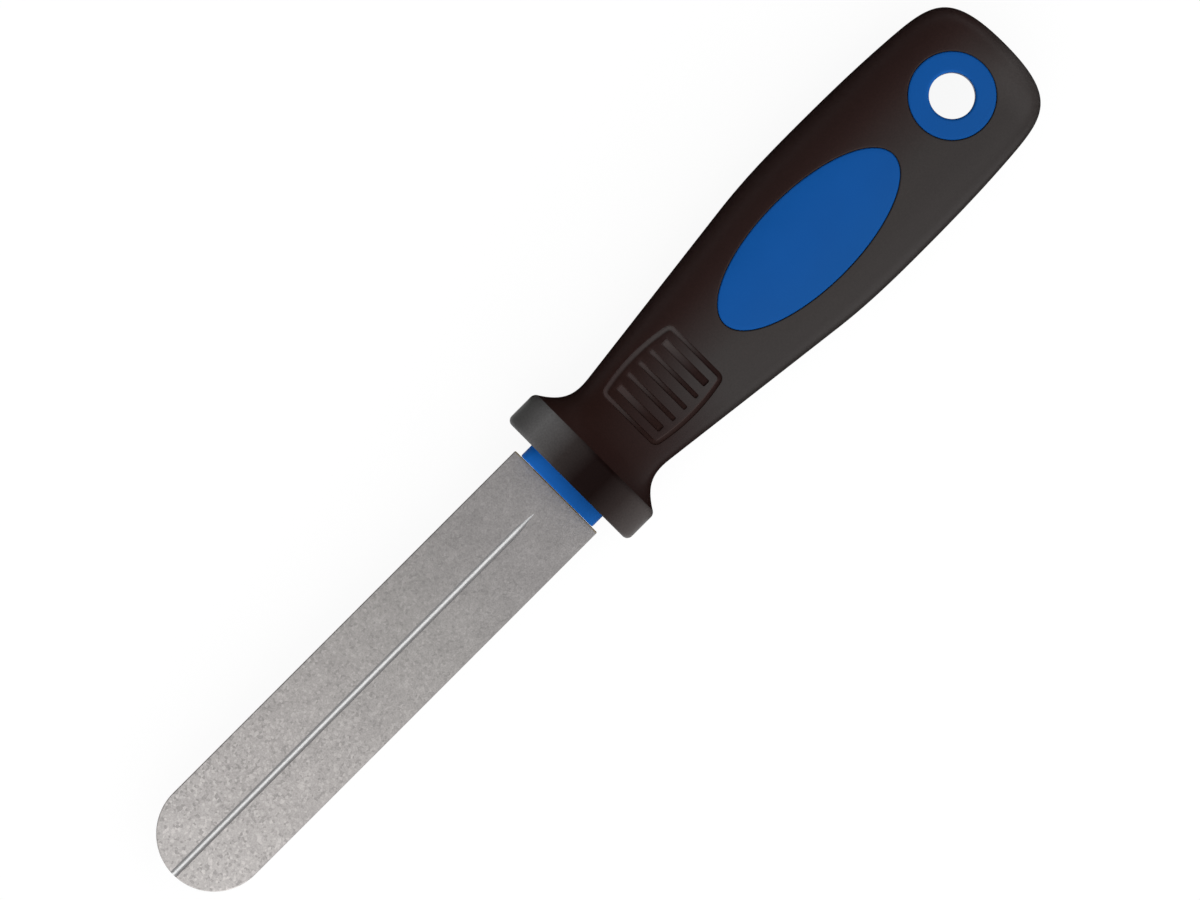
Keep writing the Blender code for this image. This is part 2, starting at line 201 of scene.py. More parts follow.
def handleKnots(inset):
    s = handleShape
    shrink = Vector((0, inset, inset))
    fromEnd = {place: handleLength - s[place + "FromEnd"] for place in ("flankEnd", "belly", "heel")}
    neck = Vector((s["neckX"], s["neckWidth"] / 2, s["neckThickness"] / 2)) - shrink
    flankEnd = Vector((fromEnd["flankEnd"], s["flankEndWidth"] / 2, s["flankEndThickness"] / 2))
    flankEnd -= shrink
    belly = Vector((fromEnd["belly"], bellyWidth / 2, bellyThickness / 2)) - shrink
    heel = Vector((fromEnd["heel"], s["heelWidth"] / 2, s["heelThickness"] / 2)) - shrink
    butt = Vector((handleLength - inset, 0, 0))
    flank = (flankEnd - neck).normalized()
    third = flank * (flankEnd - neck).length / 3
    heelSlope = Vector((1, -s["heelTaperInWidth"], -s["heelTaperInThickness"]))
    level = Vector((s["bellyReach"], 0, 0))
    return [
        (neck, flank * s["neckReach"], third),
        (flankEnd, third, flank * s["flankEndReach"]),
        (belly, level, level),
        (heel, heelSlope * s["heelReach"], heelSlope * s["buttReach"] * (butt.x - heel.x)),
        (butt, Vector((0, -heel.y, -heel.z)) * s["buttFullness"], None),
    ]


def handleCurve(inset):
    knots = handleKnots(inset)
    points = [knots[0][0]]
    for start, end in zip(knots, knots[1:]):
        points += curveOn(start, end, handleShape["curveSteps"])
    return np.array([tuple(point) for point in points])


def guardBackEdge():
    # Round edge from the guard's band to where the sweep leaves it, as x and drop below the band
    radius, turn = handleShape["guardBackRadius"], handleShape["guardBackTurn"]
    centreX = handleShape["guardLength"] - radius * math.sin(math.radians(turn))
    return arc(centreX, -radius, radius, 90, 90 - turn, handleShape["guardBackSteps"])


def sweepCurve():
    # Hollow sweep from the guard's back edge down to the neck
    s = handleShape
    x, drop = guardBackEdge()[-1]
    start = Vector((x, s["guardWidth"] / 2 + drop, bellyThickness / 2 + drop))
    neck = handleKnots(0)[0]
    fall = math.tan(math.radians(s["guardBackTurn"]))
    flatter = (start.z - neck[0].z) / (start.y - neck[0].y)
    leave = Vector((1, -fall, -fall * flatter)) * s["sweepReach"]
    points = [start] + curveOn((start, None, leave), neck, s["curveSteps"])
    return np.array([tuple(point) for point in points[:-1]])


def skinOf(curve, power):
    # A skin is its half widths, half thicknesses and section powers along x, with path lengths
    steps = np.linalg.norm(np.diff(curve, axis=0), axis=1)
    return {
        "x": curve[:, 0],
        "width": curve[:, 1],
        "thickness": curve[:, 2],
        "power": np.broadcast_to(power, len(curve)),
        "path": np.concatenate(([0.0], np.cumsum(steps))),
    }


def sectionAt(skin, place, measure="x"):
    return [float(np.interp(place, skin[measure], skin[k])) for k in ("width", "thickness", "power")]


def heightAt(skin, x, y):
    width, thickness, power = sectionAt(skin, x)
    share = min(abs(y) / width, 1.0)
    return thickness * (1 - share**power) ** (1 / power)


def halfSection(width, thickness, power):
    # Fine upper half of a section, from +y over the top to -y, with its length along the way
    angles = np.linspace(0, math.pi, handleShape["sectionPoints"])
    across, up = np.cos(angles), np.sin(angles)
    y = np.sign(across) * np.abs(across) ** (2 / power) * width
    z = np.abs(up) ** (2 / power) * thickness
    length = np.concatenate(([0.0], np.cumsum(np.hypot(np.diff(y), np.diff(z)))))
    return y, z, length


def ringPoints(x, width, thickness, power, count, shifted=False):
    # Evenly spaced along the half section; a shifted row has its inner points half a step on
    y, z, length = halfSection(width, thickness, power)
    places = np.linspace(0, length[-1], count + 1)
    if shifted:
        places = np.concatenate(([0.0], places[:-1] + places[1] / 2, [length[-1]]))
    ys, zs = np.interp(places, length, y), np.interp(places, length, z)
    zs[[0, -1]] = 0.0
    return places - length[-1] / 2, [(x, a, b) for a, b in zip(ys, zs)]


def unrolled(skin, points):
    # Where points seen from above lie on the unrolled skin
    flat = []
    for x, y, _ in points:
        ys, _, length = halfSection(*sectionAt(skin, x))
        place = np.interp(-y, -ys, length) - length[-1] / 2
        flat.append((np.interp(x, skin["x"], skin["path"]), place))
    return np.array(flat)


def coverSkin(shape, skin, spacing, firstRing, outlines):
    # Covers the unrolled skin with triangles, row by row. Outlines nest: the first leaves a hole,
    # one inside that hole is covered again, and so on. Returns the indices of every outline.
    rowCount = round(skin["path"][-1] / spacing)
    flat = list(zip(np.zeros(len(firstRing[0])), firstRing[0]))
    solid = list(firstRing[1])
    rows = [(0, len(flat))]
    for row in range(1, rowCount):
        path = skin["path"][-1] * row / rowCount
        section = sectionAt(skin, path, "path")
        x = np.interp(path, skin["path"], skin["x"])
        count = max(2, round(halfSection(*section)[2][-1] / spacing))
        places, points = ringPoints(x, *section, count, row % 2 == 1)
        rows.append((len(flat), len(points)))
        flat += [(path, place) for place in places]
        solid += points
    rows.append((len(flat), 1))
    flat.append((skin["path"][-1], 0.0))
    solid.append((skin["x"][-1], 0.0, 0.0))

    starts = [start for start, _ in rows]
    ends = [start + count - 1 for start, count in rows]
    edges = [(step, step + 1) for step in range(rows[0][1] - 1)]
    edges += list(zip(starts, starts[1:])) + list(zip(ends, ends[1:]))
    border = np.array([flat[index] for index in starts + ends[::-1]])
    fixed = set(starts) | set(ends) | set(range(rows[0][1]))

    # Row points inside a hole, on a bar's floor, or so near an outline that slivers would come, go
    flatOutlines = [unrolled(skin, outline) for outline in outlines]
    grid = np.array(flat)
    nested = sum(insideLoop(grid, outline).astype(int) for outline in flatOutlines)
    clear = distanceTo(grid, np.vstack(flatOutlines)) > rowClearance * spacing
    keep = [i for i in range(len(flat)) if i in fixed or (clear[i] and nested[i] in (0, 2))]
    renumbered = {old: new for new, old in enumerate(keep)}
    edges = [(renumbered[a], renumbered[b]) for a, b in edges]
    flat, solid = [flat[i] for i in keep], [solid[i] for i in keep]
    firstOf = []
    for outline, flatOutline in zip(outlines, flatOutlines):
        start, count = len(flat), len(outline)
        firstOf.append(start)
        edges += [(start + step, start + (step + 1) % count) for step in range(count)]
        flat += [tuple(point) for point in flatOutline]
        solid += list(outline)

    def staysAt(centres):
        depth = sum(insideLoop(centres, outline).astype(int) for outline in flatOutlines)
        return insideLoop(centres, border) & (depth % 2 == 0)

    indices = addPoints(shape, solid)
    for corners in triangulate(flat, edges, staysAt):
        shape["faces"].append(tuple(indices[corner] for corner in corners))
    return [indices[start:start + len(outline)] for start, outline in zip(firstOf, outlines)]


def fillOutline(shape, outline, rim, spacing, heightOf):
    # Covers the inside of an outline seen from above; rim holds the outline's own indices
    border = np.array([(x, y) for x, y, _ in outline])
    low, high = border.min(axis=0), border.max(axis=0)
    grid = []
    rowHeight = spacing * math.sqrt(0.75)  # as in triangles with equal sides
    for row, y in enumerate(np.arange(low[1], high[1], rowHeight)):
        grid += [(x + spacing / 2 * (row % 2), y) for x in np.arange(low[0], high[0], spacing)]
    grid = np.array(grid)
    clear = distanceTo(grid, border) > gridClearance * spacing
    grid = grid[insideLoop(grid, border) & clear]
    indices = rim + addPoints(shape, [(x, y, heightOf(x, y)) for x, y in grid])
    count = len(outline)
    edges = [(step, (step + 1) % count) for step in range(count)]
    for corners in triangulate(np.vstack((border, grid)), edges, lambda c: insideLoop(c, border)):
        shape["faces"].append(tuple(indices[corner] for corner in corners))


# Outlines seen from above

def ellipseOutline(centreX, halves, grow, count):
    outline = []
    for angle in np.linspace(0, 2 * math.pi, count, endpoint=False):
        across, up = math.cos(angle), math.sin(angle)
        normal = np.array((across / halves[0], up / halves[1]))
        normal *= grow / np.linalg.norm(normal)
        outline.append((centreX + halves[0] * across + normal[0], halves[1] * up + normal[1]))
    return outline


def panelOutline(centreX, length, width, bulge, radius, inset, steps):
    # Rectangle with round corners and bulged sides; steps are those of side, corner and end
    halfLength, halfWidth, radius = length / 2 - inset, width / 2 - inset, radius - inset
    bend = bulge / (length / 2) ** 2
    cornerX = halfLength - radius
    lean = math.atan(2 * bend * cornerX)
    joinX = cornerX + radius * math.sin(lean)
    cornerY = halfWidth - bend * joinX**2 - radius * math.cos(lean)
    side = [(x, halfWidth - bend * x * x) for x in np.linspace(0, joinX, steps[0], endpoint=False)]
    corner = arc(cornerX, cornerY, radius, 90 - math.degrees(lean), 0, steps[1])
    end = [(halfLength, y) for y in np.linspace(cornerY, 0, steps[2] + 1)[1:]]
    quarter = side + corner + end
    right = quarter + [(x, -y) for x, y in quarter[-2::-1]]
    left = [(-x, y) for x, y in right[-2:0:-1]]
    return [(centreX + x, y) for x, y in right + left]


# Forms that grip and core share

coreShape = {
    "collarLength": 2.87,
    "collarWidth": 18.85,
    "collarThickness": 9.0,
    "collarPower": 7.0,
    "collarEdge": 0.35,              # rounding of the collar's front edge
    "collarEnd": 7.5,                # where the collar starts to blend into the inner body
    "bodyStart": 13.5,
    "blendSteps": 12,
    "slotWidth": 12.4,
    "slotThickness": 3.2,
    "slotDepth": 60.6,
    "slotPower": 14.0,               # a section's power this high is nearly a rectangle
    "ovalWidth": 18.3,
    "ovalFront": 41.6,
    "ovalRear": 86.4,
    "eyeletWidth": 16.65,
    "hangHoleWidth": 8.75,
    "hangHoleFromEnd": 14.0,
    "ovalSteps": 168,
    "eyeletSteps": 96,
    "columns": 72,
    "collarEdgeSteps": 6,
    "collarFaceRings": (0.3, 0.65),  # how far from the slot to the collar's edge
    "spacing": 2.0,                  # size of the hidden surface's triangles, and of the pads'
    "padSpacing": 0.9,
    "padEdge": 0.30,                 # rounding round the blue pads
    "padEdgeLoops": 6,
    "padSunk": 0.06,                 # how far the blue lies below the black
    "eyeletFaceRings": 6,
    "holeEdge": 0.55,                # rounding at the mouth of the hang hole
    "holeEdgeSteps": 8,
    "holeWallRings": (0.66, 0.33, 0.0),  # height of each as a share of the ring's before it
    "insideGap": 0.30,               # between core and grip where nobody sees it
    "frontGap": 0.04,                # between the collar's face and the plate
}

outerSkin = skinOf(np.vstack((sweepCurve(), handleCurve(0))), handleShape["sectionPower"])
ovalLength = coreShape["ovalRear"] - coreShape["ovalFront"]
ovalWindow = (
    (coreShape["ovalFront"] + coreShape["ovalRear"]) / 2,
    (ovalLength / 2, coreShape["ovalWidth"] / 2),
    coreShape["ovalSteps"],
)
eyeletWindow = (
    handleLength - coreShape["hangHoleFromEnd"],
    (coreShape["eyeletWidth"] / 2, coreShape["eyeletWidth"] / 2),
    coreShape["eyeletSteps"],
)


def surfaceHeight(x, y):
    return heightAt(outerSkin, x, y)


def insideSkin(front, gap):
    # The hollow of the grip or, a gap smaller, the core: first the collar, then the handle's form
    s = coreShape
    body = handleCurve(handleShape["wall"] + gap)
    growth = s["insideGap"] - gap
    collar = (s["collarEnd"], s["collarWidth"] / 2 + growth, s["collarThickness"] / 2 + growth)
    start = (s["bodyStart"], body[0][1], body[0][2])
    rows, powers = [(front, *collar[1:]), collar], [s["collarPower"], s["collarPower"]]
    for share in np.linspace(0, 1, s["blendSteps"] + 1)[1:]:
        ease = share * share * (3 - 2 * share)
        rows.append([a + (b - a) * part for a, b, part in zip(collar, start, (share, ease, ease))])
        powers.append(s["collarPower"] + (handleShape["sectionPower"] - s["collarPower"]) * ease)
    powers += [handleShape["sectionPower"]] * len(body)
    return skinOf(np.vstack((np.array(rows), body)), np.array(powers))


# Soft grip: black rubber moulded over the core

gripDetail = {
    "windowGap": 0.07,               # thin dark seam between black and blue
    "windowEdge": 0.26,
    "windowEdgeLoops": 6,
    "padX": 25.3,
    "padLength": 18.6,
    "padWidth": 16.5,
    "padSideBulge": 1.1,
    "padCornerRadius": 1.6,
    "padSteps": (12, 8, 9),          # of a quarter of its outline: side, corner and end
    "padDepth": 0.9,
    "padFloorPower": 2.8,            # flatter across than the grip
    "bars": (-2, -1, 0, 1, 2),
    "barSpacing": 3.0,
    "innerBar": (1.0, 12.4),         # along and across the handle
    "outerBar": (1.55, 11.4),
    "barCornerRadius": 0.32,
    "barSteps": (1, 4, 12),
    "barFloorSpacing": 0.45,
    # Each pair is an inset in mm and how far down to the pad's floor the line is there
    "frameProfile": (
        (0.0, 0.0), (0.04, 0.06), (0.08, 0.25), (0.12, 0.44), (0.16, 0.5), (0.5, 0.52),
        (0.84, 0.5), (0.88, 0.44), (0.92, 0.25), (0.96, 0.06), (1.0, 0.0),
    ),
    "barProfile": ((0.0, 0.0), (0.04, 0.06), (0.08, 0.25), (0.12, 0.44), (0.16, 0.5)),
    "mouthEdge": 0.25,               # depth of the bevel round the hole for the collar
    "spacing": 0.75,                 # size of the surface's triangles, and of the hollow's
    "innerSpacing": 2.2,
    "guardColumns": 84,
    "guardFaceRings": (0.03, 0.25, 0.5, 0.75),
    "guardEdgeSteps": 10,
    "guardBandRings": 6,
}

padFloorSkin = skinOf(handleCurve(gripDetail["padDepth"]), gripDetail["padFloorPower"])
rubberLook, guardHighlightLook, dishedLook = 0, 1, 2  # in the order in which the grip gets them


def guardRings(hole):
    # From the hole for the collar out over the front face, round the edge, over the band and
    # round the back edge; a ring is x, half width, half thickness and section power
    s, face = handleShape, gripDetail["mouthEdge"]
    halfWidth, halfThickness = s["guardWidth"] / 2, bellyThickness / 2
    front, backEdge = s["guardFrontRadius"], guardBackEdge()
    outer = (halfWidth - front, halfThickness - front, s["sectionPower"])
    rings = [(face, *hole)]
    for share in gripDetail["guardFaceRings"]:
        rings.append((0.0, *[a + (b - a) * share for a, b in zip(hole, outer)]))
    for x, y in arc(front, -front, front, 180, 90, gripDetail["guardEdgeSteps"]):
        rings.append((x, halfWidth + y, halfThickness + y, s["sectionPower"]))
    for x in np.linspace(front, backEdge[0][0], gripDetail["guardBandRings"] + 2)[1:-1]:
        rings.append((x, halfWidth, halfThickness, s["sectionPower"]))
    for x, y in backEdge:
        rings.append((x, halfWidth + y, halfThickness + y, s["sectionPower"]))
    return rings


def lipLoops(window):
    # Rounded edge of a window, from the wall out onto the grip's surface
    x, halves, count = window
    edge = gripDetail["windowEdge"]
    loops = []
    for turn in np.radians(np.linspace(0, 90, gripDetail["windowEdgeLoops"])):
        grow = gripDetail["windowGap"] + edge * (1 - math.cos(turn))
        sunk = edge * (1 - math.sin(turn))
        outline = ellipseOutline(x, halves, grow, count)
        loops.append([(a, b, surfaceHeight(a, b) - sunk) for a, b in outline])
    return loops


def sunkHeight(x, y, share):
    return surfaceHeight(x, y) * (1 - share) + heightAt(padFloorSkin, x, y) * share


def barFloor(x, y):
    return sunkHeight(x, y, gripDetail["barProfile"][-1][1])


def sunkLoops(profile, place, size, bulge, radius, steps):
    # A line or bar of the thumb pad, from the grip's surface inwards and down
    loops = []
    for inset, share in profile:
        outline = panelOutline(gripDetail["padX"] + place, *size, bulge, radius, inset, steps)
        loops.append([(x, y, sunkHeight(x, y, share)) for x, y in outline])
    return loops


def buildGrip():
    d = gripDetail
    shape = newShape()
    hollow = insideSkin(d["mouthEdge"], 0)
    rings = [ringPoints(*ring, d["guardColumns"]) for ring in guardRings(sectionAt(hollow, 0))]
    addStrips(shape, [addPoints(shape, points) for _, points in rings], closed=False)
    markFaces(shape, guardHighlightLook)

    windows = [lipLoops(ovalWindow), lipLoops(eyeletWindow)]
    padSize = (d["padLength"], d["padWidth"])
    padLine = sunkLoops(
        d["frameProfile"], 0, padSize, d["padSideBulge"], d["padCornerRadius"], d["padSteps"],
    )
    bars = []
    for bar in d["bars"]:
        size = d["outerBar"] if abs(bar) == d["bars"][-1] else d["innerBar"]
        place = bar * d["barSpacing"]
        bars.append(sunkLoops(d["barProfile"], place, size, 0, d["barCornerRadius"], d["barSteps"]))
    ends = [loops[-1] for loops in windows] + [padLine[0], padLine[-1]]
    ends += [loops[0] for loops in bars]
    coverSkin(shape, outerSkin, d["spacing"], rings[-1], ends)
    for loops in windows:
        addStrips(shape, [addPoints(shape, loop) for loop in loops])
    markFaces(shape, rubberLook)
    for loops in [padLine] + bars:
        addStrips(shape, [addPoints(shape, loop) for loop in loops])
    for loops in bars:
        floor = addPoints(shape, loops[-1])
        fillOutline(shape, loops[-1], floor, d["barFloorSpacing"], barFloor)
    markFaces(shape, dishedLook)

    # Inner surface with the same windows, and the windows' walls
    mouth = ringPoints(d["mouthEdge"], *sectionAt(hollow, 0), d["guardColumns"])
    inner = [[(x, y, heightAt(hollow, x, y)) for x, y, _ in loops[0]] for loops in windows]
    coverSkin(shape, hollow, d["innerSpacing"], mouth, inner)
    for loops, innerLoop in zip(windows, inner):
        addStrips(shape, [addPoints(shape, innerLoop), addPoints(shape, loops[0])])
    return makePiece("soft_grip_overmould", shape, halved=True)


# Core: blue plastic around the tang, seen as collar, oval pads and eyelet

def padLoops(window):
    # From the wall of a pad up, round its edge and onto its top
    x, halves, count = window
    edge, sunk = coreShape["padEdge"], coreShape["padSunk"]
    loops = []
    for turn in np.radians(np.linspace(0, 90, coreShape["padEdgeLoops"])):
        outline = ellipseOutline(x, halves, edge * (math.cos(turn) - 1), count)
        drop = sunk + edge * (1 - math.sin(turn))
        loops.append([(a, b, surfaceHeight(a, b) - drop) for a, b in outline])
    return loops


def padTop(x, y):
    return surfaceHeight(x, y) - coreShape["padSunk"]


def buildCore():
    s = coreShape
    shape = newShape()
    columns, edge, front = s["columns"], s["collarEdge"], s["frontGap"] - s["collarLength"]
    body = insideSkin(front + edge, s["insideGap"])
    collar = sectionAt(body, front + edge)
    face = (collar[0] - edge, collar[1] - edge, collar[2])
    slot = (s["slotWidth"] / 2, s["slotThickness"] / 2, s["slotPower"])
    end = addPoints(shape, ringPoints(s["slotDepth"], *slot, columns)[1])
    rings = [(front, *slot)]
    for share in s["collarFaceRings"]:
        rings.append((front, *[a + (b - a) * share for a, b in zip(slot, face)]))
    for x, y in arc(front + edge, -edge, edge, 180, 90, s["collarEdgeSteps"]):
        rings.append((x, collar[0] + y, collar[1] + y, collar[2]))
    rings = [ringPoints(*ring, columns) for ring in rings]
    addStrips(shape, [end] + [addPoints(shape, points) for _, points in rings], closed=False)
    shape["faces"].append(tuple(end))

    pads = [padLoops(ovalWindow), padLoops(eyeletWindow)]
    feet = [[(x, y, heightAt(body, x, y)) for x, y, _ in loops[0]] for loops in pads]
    coverSkin(shape, body, s["spacing"], rings[-1], feet)
    for loops, foot in zip(pads, feet):
        addStrips(shape, [addPoints(shape, loop) for loop in [foot] + loops])

    oval, eyelet = pads
    rim = addPoints(shape, oval[-1])
    fillOutline(shape, oval[-1], rim, s["padSpacing"], padTop)
    x, halves, count = eyeletWindow
    hole, rounding = s["hangHoleWidth"] / 2, s["holeEdge"]
    rings = [eyelet[-1]]
    outside = halves[0] - s["padEdge"]
    for radius in np.linspace(outside, hole + rounding, s["eyeletFaceRings"] + 1)[1:]:
        outline = ellipseOutline(x, (radius, radius), 0, count)
        rings.append([(a, b, padTop(a, b)) for a, b in outline])
    for turn in np.radians(np.linspace(0, 90, s["holeEdgeSteps"] + 1)[1:]):
        radius = hole + rounding * (1 - math.sin(turn))
        outline = ellipseOutline(x, (radius, radius), 0, count)
        rings.append([(a, b, padTop(a, b) - rounding * (1 - math.cos(turn))) for a, b in outline])
    for share in s["holeWallRings"]:
        rings.append([(a, b, c * share) for a, b, c in rings[-1]])
    addStrips(shape, [addPoints(shape, ring) for ring in rings])
    return makePiece("blue_core", shape, halved=True)


# Blade: steel plate and tang

bladeShape = {
    "shoulderX": -2.87,
    "edgeRadius": 0.25,
    "edgeSegments": 4,
    "tipSteps": 72,
    "tangWidth": 12.0,
    "tangThickness": 2.8,
    "tangEnd": 60.0,
    "tangEndRadius": 4.0,
    "tangCornerSteps": 12,
    "tangOverlap": 2.0,              # how far the tang's slab reaches into the plate's
    "lockHoleWidth": 5.0,
    "lockHoleSteps": 60,
    "lockHolesX": (24.0, 48.0),
    "grooveWidth": 1.5,
    "grooveFloorWidth": 0.4,
    "grooveDepth": 0.9,
    "grooveRearLand": 6.0,
    "grooveRunOut": 4.7,
    "groovePointWidth": 0.06,
    "grooveCutPast": 1.0,            # how far the cutter stands out over the face and the tip
}


def slab(name, outline, halfThickness):
    shape = newShape()
    top = addPoints(shape, [(x, y, halfThickness) for x, y in outline])
    bottom = addPoints(shape, [(x, y, -halfThickness) for x, y in outline])
    addStrip(shape, top, bottom)
    shape["faces"] += [tuple(top), tuple(bottom)]
    return makePiece(name, shape)


def cutOrJoin(piece, tool, operation):
    boolean = piece.modifiers.new(tool.name, "BOOLEAN")
    boolean.operation = operation
    boolean.object = tool
    boolean.solver = "EXACT"


def applyModifiers(piece, tools):
    graph = bpy.context.evaluated_depsgraph_get()
    mesh = bpy.data.meshes.new_from_object(piece.evaluated_get(graph))
    piece.modifiers.clear()
    piece.data = mesh
    for tool in tools:
        bpy.data.objects.remove(tool)


def buildGroove():
    # V with a narrow floor, level at first and then climbing out to a point in the face
    s = bladeShape
    slope = (s["grooveWidth"] - s["grooveFloorWidth"]) / 2 / s["grooveDepth"]
    face = plateThickness / 2
    top = face + s["grooveCutPast"]
    endX = s["shoulderX"] - s["grooveRearLand"]
    shape = newShape()
    rings = []
    for x, bottom, floor in (
        (tipX - s["grooveCutPast"], face - s["grooveDepth"], s["grooveFloorWidth"]),
        (endX - s["grooveRunOut"], face - s["grooveDepth"], s["grooveFloorWidth"]),
        (endX, face, s["groovePointWidth"]),
    ):
        reach = floor / 2 + slope * (top - bottom)
        section = [(floor / 2, bottom), (reach, top), (-reach, top), (-floor / 2, bottom)]
        rings.append(addPoints(shape, [(x, y, z) for y, z in section]))
    addStrips(shape, rings)
    shape["faces"] += [tuple(rings[0]), tuple(rings[-1])]
    return makePiece("groove", shape)


def buildBlade():
    s = bladeShape
    half = plateWidth / 2
    tip = arc(tipX + half, 0, half, 90, 270, s["tipSteps"])
    outline = [(s["shoulderX"], half)] + tip + [(s["shoulderX"], -half)]
    plate = slab("file_plate", outline, plateThickness / 2)
    rounding = plate.modifiers.new("edges", "BEVEL")
    rounding.width = s["edgeRadius"] * mm
    rounding.segments = s["edgeSegments"]
    rounding.limit_method = "ANGLE"
    halfTang, turn = s["tangWidth"] / 2, s["tangEndRadius"]
    corner = arc(s["tangEnd"] - turn, halfTang - turn, turn, 90, 0, s["tangCornerSteps"])
    tangHalf = [(s["shoulderX"] - s["tangOverlap"], halfTang)] + corner
    outline = tangHalf + [(x, -y) for x, y in reversed(tangHalf)]
    tang = slab("tang", outline, s["tangThickness"] / 2)
    cutOrJoin(plate, tang, "UNION")
    tools = [tang]
    radius, lastStep = s["lockHoleWidth"] / 2, s["lockHoleSteps"] - 1
    for x in s["lockHolesX"]:
        circle = arc(x, 0, radius, 0, 360 * lastStep / s["lockHoleSteps"], lastStep)
        hole = slab("lock_hole", circle, plateThickness)
        cutOrJoin(plate, hole, "DIFFERENCE")
        tools.append(hole)
    groove = buildGroove()
    cutOrJoin(plate, groove, "DIFFERENCE")
    # The groove is ground after plating, so what it cuts shows the second material
    for face in groove.data.polygons:
        face.material_index = 1
    for thing in (plate, groove):
        for material in (platedGrit, groundSteel):
            thing.data.materials.append(material)
    applyModifiers(plate, tools + [groove])
    # The cuts leave new edges, and those of the groove and the tang are sharp
    plate.data.set_sharp_from_angle(angle=math.radians(sharpAngle))
    weighted = plate.modifiers.new("flat_faces", "WEIGHTED_NORMAL")
    weighted.keep_sharp = True
    applyModifiers(plate, [])
    return plate


# Materials

grainHeight = 0.1 * mm               # what a grain's bump stands for at a strength of 1
noiseLow, noiseHigh = 0.3, 0.7       # nearly all of a noise lies between these


def fromNoise(low, high):
    # Settings of a map range that turns a noise into values from low to high
    return {1: noiseLow, 2: noiseHigh, 3: low, 4: high}


def colour(hexValue):
    # sRGB hex to the linear colour that the shader takes
    parts = [int(hexValue[i:i + 2], 16) / 255 for i in (1, 3, 5)]
    return (*[p / 12.92 if p <= 0.04045 else ((p + 0.055) / 1.055) ** 2.4 for p in parts], 1.0)


def newMaterial(name, values):
    # The values are those that are the same all over the surface
    material = bpy.data.materials.new(name)
    material.use_nodes = True
    shader = material.node_tree.nodes["Principled BSDF"]
    for socket, value in values.items():
        shader.inputs[socket].default_value = value
    return material, shader


def addNode(owner, kind, settings, links=None, output=0):
    # The kind is the node's type without ShaderNode. Settings and links are named as in the node or
    # by the number of its socket, and stops are those of a colour ramp, each its position and
    # colour. What comes back is the socket of one output.
    node = owner.node_tree.nodes.new("ShaderNode" + kind)
    for name, value in settings.items():
        if name == "stops":
            while len(node.color_ramp.elements) < len(value):
                node.color_ramp.elements.new(1.0)
            for stop, (position, tone) in zip(node.color_ramp.elements, value):
                stop.position, stop.color = position, colour(tone)
        elif isinstance(name, str) and hasattr(node, name):
            setattr(node, name, value)
        else:
            node.inputs[name].default_value = value
    for name, socket in (links or {}).items():
        owner.node_tree.links.new(socket, node.inputs[name])
    return node.outputs[output]


def placeInMm(material):
    # Surface position in the millimetres that the shapes are worked out in, and its x and y
    place = addNode(material, "TexCoord", {}, output="Object")
    settings = {"operation": "MULTIPLY_ADD", 1: (1 / mm,) * 3, 2: (-guardX / mm, 0.0, -middleZ / mm)}
    place = addNode(material, "VectorMath", settings, {0: place})
    parts = addNode(material, "SeparateXYZ", {}, {0: place}).node.outputs
    return place, parts["X"], parts["Y"]


gritFinish = {
    # Along the plate from the tip to the shoulder: painted shade, darker towards the shoulder
    "plate": (
        (0.0, "#aaa6a4"), (0.3, "#9b9795"), (0.65, "#898684"), (0.85, "#7e7b7a"), (1.0, "#7e7b7a"),
    ),
    "sides": (1.05, 0.95),           # towards -y and +y: painted light, a little paler, and painted shade, a little darker
    "edge": "#4f4c4a",
    "edgeWidth": 0.3,
    "edgeStrength": 0.6,
    "shoulderLine": "#8d7a52",
    "shoulderLineReach": (0.3, 0.15),  # where it starts and is full, before the shoulder
    "dotSize": 0.5,                  # real grit is about 0.1 mm, too fine to show
    "dotStops": (
        (0.0, "#000000"), (0.13, "#000000"), (0.2, "#bcbcbc"), (0.8, "#bcbcbc"), (0.86, "#ffffff"),
    ),
    "dotMiddle": 0.5,                # the middle stop's grey as a linear value, which adds nothing
    "dotContrast": (0.46, 0.14),     # at the tip and at the shoulder
    "grainSize": 0.28,               # the nickel between them, coarser than real for the same reason
    "grainContrast": 0.12,
    "patchSize": 3.5,                # places where the coating came out a little thicker
    "patchContrast": 0.06,
    "metallic": 0.3,                 # nickel is metal, but the crystals cover most of it
    "roughness": 0.6,
    "bump": 0.4,
}


